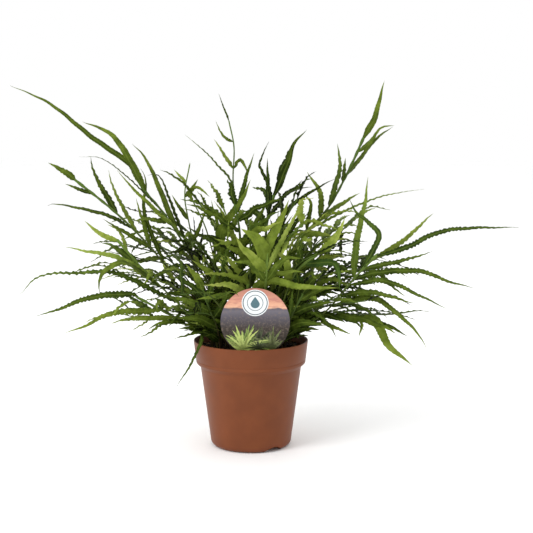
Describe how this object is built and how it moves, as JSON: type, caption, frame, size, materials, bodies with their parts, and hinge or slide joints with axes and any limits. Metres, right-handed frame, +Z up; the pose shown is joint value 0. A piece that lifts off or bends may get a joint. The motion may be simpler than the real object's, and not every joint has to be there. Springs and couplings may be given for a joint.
{
  "type": "potted fern",
  "caption": "Bushy fern with wiry stalks and long, narrow, thread-tipped leaflets, in a plastic nursery pot of peat with a round plant label.",
  "frame": {"origin": "middle of the pot's flat underside, on the pot's axis, at the surface that the pot stands on", "axes": "+Z up along the pot's axis; +X to the right and -Y to the front, where the label faces; the fronds spread widest along X"},
  "size_m": [0.5066, 0.3456, 0.3815],
  "materials": {
    "pot_plastic": "satin",
    "peat": "matte",
    "label_card": "satin",
    "frond_green": "satin"
  },
  "bodies": {
    "root": {"frond_centre_broad": "frond_green", "frond_centre_tall": "frond_green", "frond_dark_spire": "frond_green", "frond_fill_01": "frond_green", "frond_fill_02": "frond_green", "frond_fill_03": "frond_green", "frond_fill_04": "frond_green", "frond_fill_05": "frond_green", "frond_fill_06": "frond_green", "frond_fill_07": "frond_green", "frond_fill_08": "frond_green", "frond_fill_09": "frond_green", "frond_fill_10": "frond_green", "frond_fill_11": "frond_green", "frond_fill_12": "frond_green", "frond_fill_13": "frond_green", "frond_fill_14": "frond_green", "frond_fill_15": "frond_green", "frond_fill_16": "frond_green", "frond_fill_17": "frond_green", "frond_fill_18": "frond_green", "frond_flank_1": "frond_green", "frond_flank_10": "frond_green", "frond_flank_11": "frond_green", "frond_flank_12": "frond_green", "frond_flank_13": "frond_green", "frond_flank_14": "frond_green", "frond_flank_15": "frond_green", "frond_flank_16": "frond_green", "frond_flank_17": "frond_green", "frond_flank_18": "frond_green", "frond_flank_19": "frond_green", "frond_flank_2": "frond_green", "frond_flank_20": "frond_green", "frond_flank_3": "frond_green", "frond_flank_4": "frond_green", "frond_flank_5": "frond_green", "frond_flank_6": "frond_green", "frond_flank_7": "frond_green", "frond_flank_8": "frond_green", "frond_flank_9": "frond_green", "frond_front_fan": "frond_green", "frond_front_light": "frond_green", "frond_front_right": "frond_green", "frond_hooked": "frond_green", "frond_left_broad": "frond_green", "frond_left_low": "frond_green", "frond_left_tall": "frond_green", "frond_left_upper": "frond_green", "frond_right_long": "frond_green", "frond_right_low": "frond_green", "frond_right_tall": "frond_green", "frond_rim_left": "frond_green", "frond_rim_right": "frond_green", "frond_slender": "frond_green", "peat": "peat", "plant_label": "label_card", "pot": "pot_plastic"}
  },
  "joints": []
}
